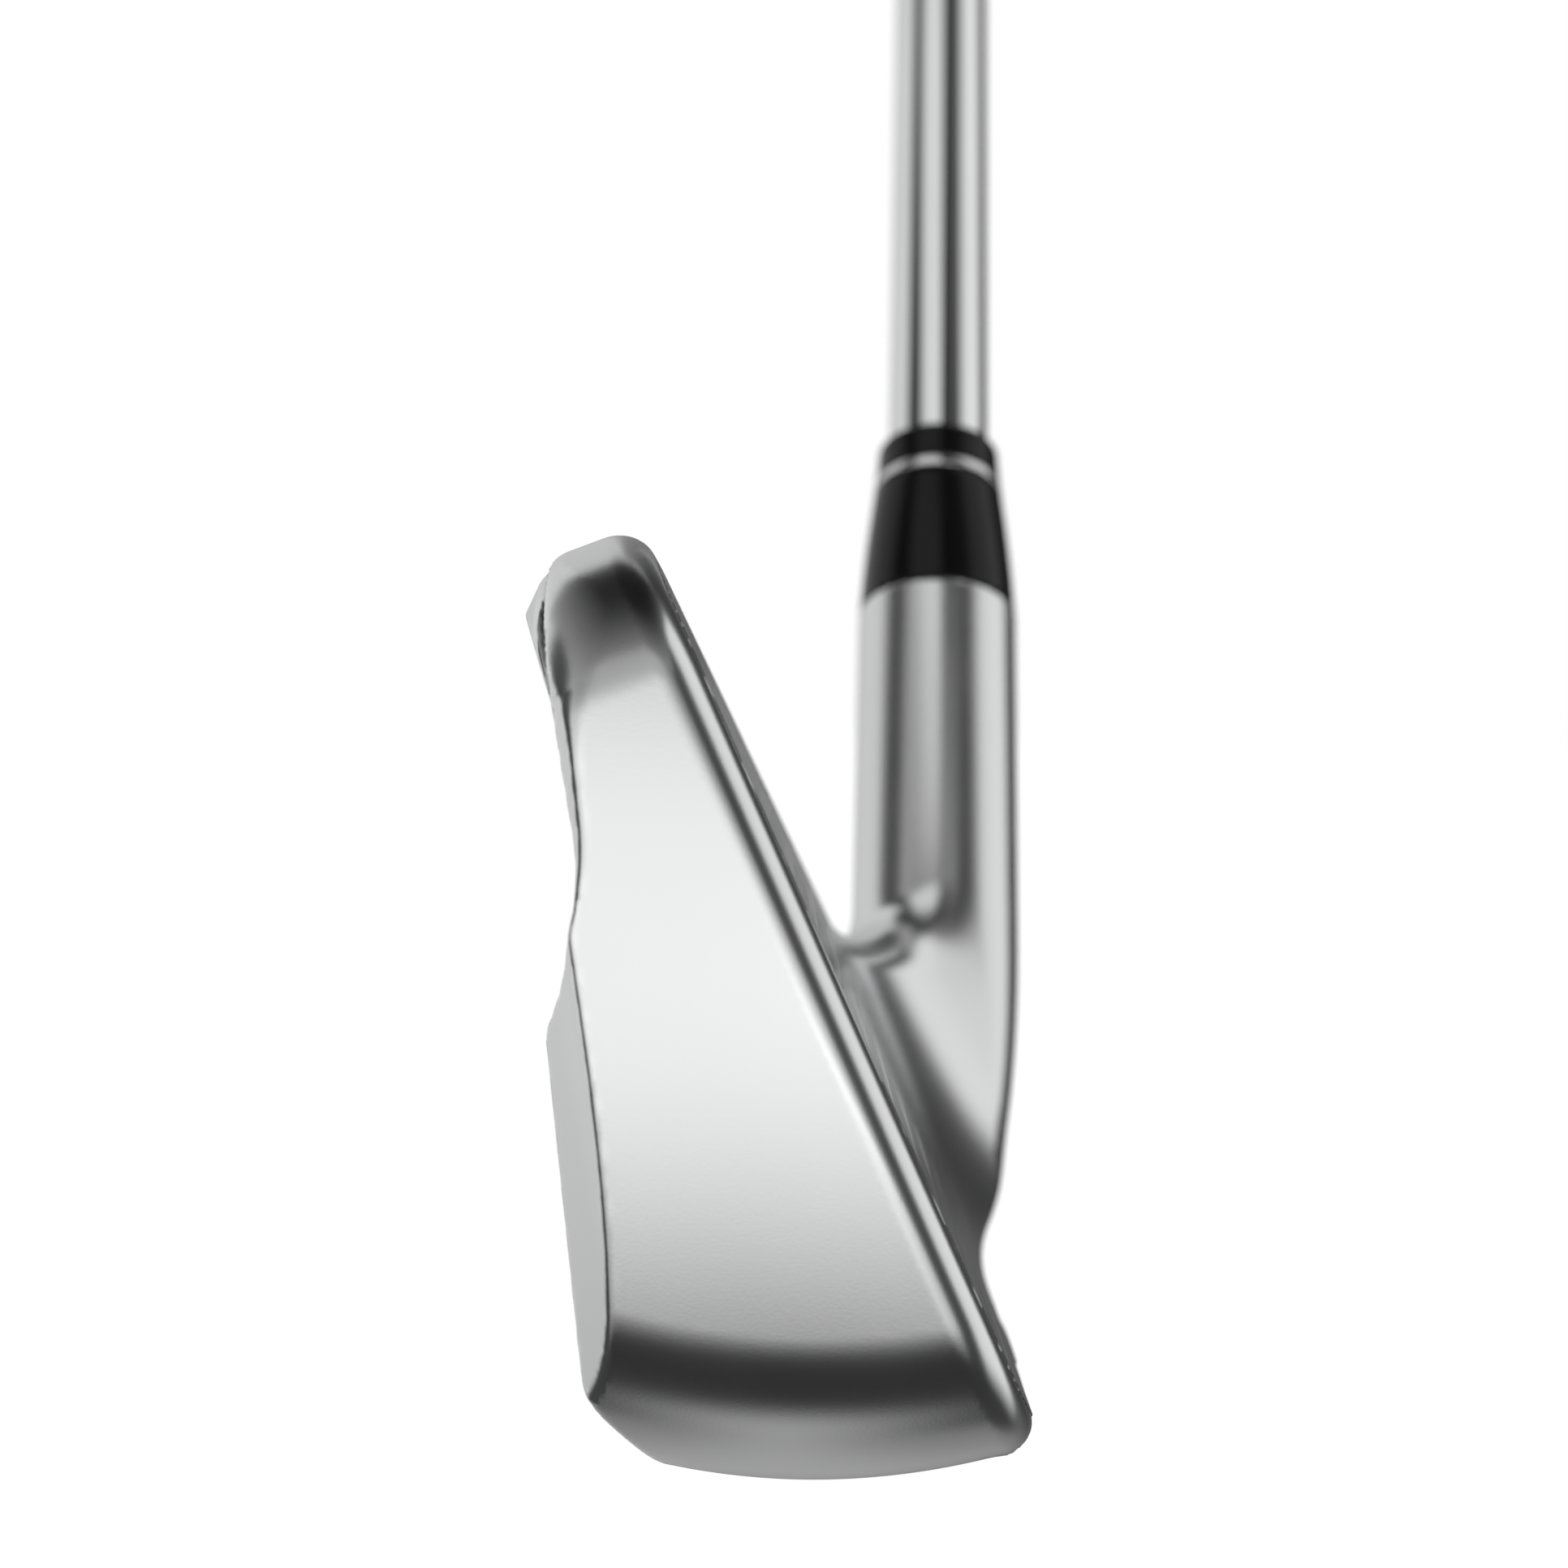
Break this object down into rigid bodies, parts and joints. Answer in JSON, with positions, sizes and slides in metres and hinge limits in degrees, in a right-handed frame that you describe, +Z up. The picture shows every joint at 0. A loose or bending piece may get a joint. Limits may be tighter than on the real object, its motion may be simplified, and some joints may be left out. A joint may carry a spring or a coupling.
{
  "type": "iron golf club",
  "caption": "Right-handed cavity-back iron golf club: cast head with scored face plate and bonded badge, black ferrule, stepped steel shaft and rubber grip.",
  "frame": {"origin": "centre of the striking face, on the land between two scorelines", "axes": "+X horizontally towards the target (the face looks along +X and up), +Y from toe to heel, +Z up with the club soled at its lie angle"},
  "size_m": [0.0431, 0.5179, 0.8508],
  "materials": {
    "satin_steel": "bead-blasted satin nickel-chrome plating",
    "face_steel": "finely milled satin face",
    "tungsten": "sintered tungsten alloy, hidden",
    "urethane": "cast urethane foam, hidden",
    "foam_tape": "double-sided foam tape",
    "polished_steel": "polished chrome badge",
    "dark_inlay": "fine textured inlay",
    "cork": "cork plug, hidden",
    "brass": "turned brass weight, hidden",
    "epoxy": "set epoxy, hidden",
    "gloss_black": "polished black acetate",
    "ring_metal": "satin trim ring",
    "shaft_chrome": "bright chrome-plated steel",
    "band_film": "plain printed film, no lettering",
    "grip_tape_paper": "double-sided paper tape, hidden",
    "grip_rubber": "matt moulded rubber"
  },
  "bodies": {
    "root": {"head_body": "satin_steel", "face_plate": "face_steel", "toe_weight": "tungsten", "damping_core": "urethane", "badge_tape": "foam_tape", "back_badge": "polished_steel", "badge_inlay": "dark_inlay", "hosel_plug": "cork", "tip_weight": "brass", "shaft_bond": "epoxy", "ferrule_body": "gloss_black", "ferrule_ring": "ring_metal", "ferrule_cap": "gloss_black", "shaft": "shaft_chrome", "shaft_band": "band_film", "grip_tape": "grip_tape_paper", "grip": "grip_rubber", "grip_cap": "grip_rubber"}
  },
  "joints": []
}
